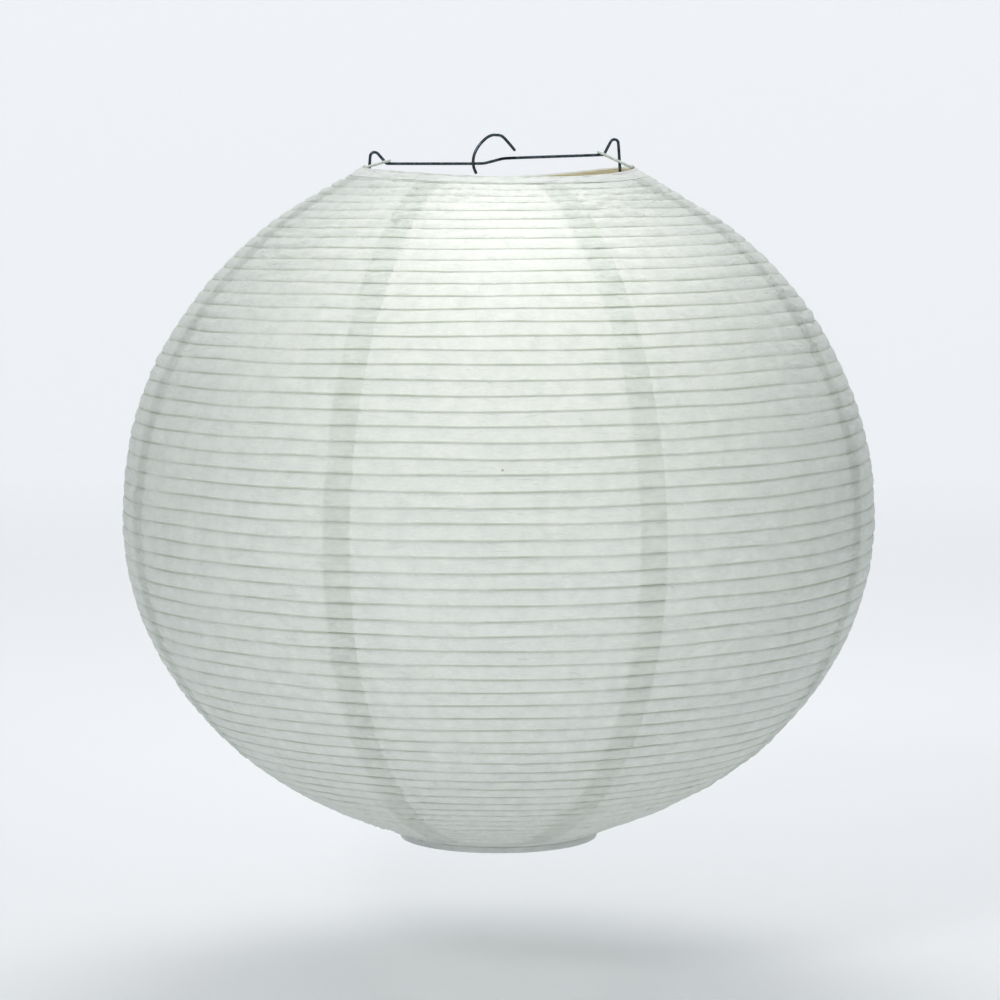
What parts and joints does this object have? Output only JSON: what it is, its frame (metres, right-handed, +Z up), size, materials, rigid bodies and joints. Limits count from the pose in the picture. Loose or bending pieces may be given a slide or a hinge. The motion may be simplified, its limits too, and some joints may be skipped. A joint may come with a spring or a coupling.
{
  "type": "paper lantern",
  "caption": "Round ribbed white paper lantern shade stretched over a bent wire frame, with a hanging hook, that folds flat along its spiral rib.",
  "frame": {"origin": "underside of the hanging hook's top, where the hook rests on what holds it, on the shade's axis", "axes": "+Z up along the shade's axis; X along the frame's crossbar, with the stepped-up half of the bar at +X; -Y is the front"},
  "size_m": [0.4998, 0.4998, 0.469],
  "materials": {
    "shade_paper": "matte translucent washi",
    "hem_paper": "matte, two layers",
    "bamboo_rib": "split bamboo",
    "bamboo_hoop": "split bamboo, satin",
    "steel_wire": "bright drawn wire",
    "ear_wire": "white coating on wire",
    "ear_thread": "waxed thread"
  },
  "bodies": {
    "wire_frame": {"frame_wire": "steel_wire", "hanging_hook": "steel_wire"},
    "shade": {"paper_gore_1": "shade_paper", "paper_gore_2": "shade_paper", "paper_gore_3": "shade_paper", "paper_gore_4": "shade_paper", "paper_gore_5": "shade_paper", "paper_gore_6": "shade_paper", "paper_gore_7": "shade_paper", "paper_gore_8": "shade_paper", "rib_spiral": "bamboo_rib", "top_hoop": "bamboo_hoop", "top_hem_band": "hem_paper", "ear_thread_left_front": "ear_thread", "ear_thread_left_back": "ear_thread", "ear_thread_right_front": "ear_thread", "ear_thread_right_back": "ear_thread"},
    "bottom_rim": {"bottom_hoop": "bamboo_hoop", "bottom_hem_band": "hem_paper"},
    "left_ear": {"top_ear_left": "ear_wire"},
    "right_ear": {"top_ear_right": "ear_wire"}
  },
  "joints": [
    {"name": "shade_lift", "type": "slide", "parent": "wire_frame", "child": "shade", "axis": [0, 0, 1], "range_m": [0, 0.02]},
    {"name": "shade_fold", "type": "slide", "parent": "shade", "child": "bottom_rim", "axis": [0, 0, 1], "range_m": [0, 0.365], "deforming": ["paper_gore_1", "paper_gore_2", "paper_gore_3", "paper_gore_4", "paper_gore_5", "paper_gore_6", "paper_gore_7", "paper_gore_8", "rib_spiral"]},
    {"name": "left_ear_flip", "type": "hinge", "parent": "shade", "child": "left_ear", "pos_m": [-0.0882, 0, -0.02035], "axis": [0, -1, 0], "range_deg": [0, 115]},
    {"name": "right_ear_flip", "type": "hinge", "parent": "shade", "child": "right_ear", "pos_m": [0.0882, 0, -0.02035], "axis": [0, 1, 0], "range_deg": [0, 105]}
  ]
}
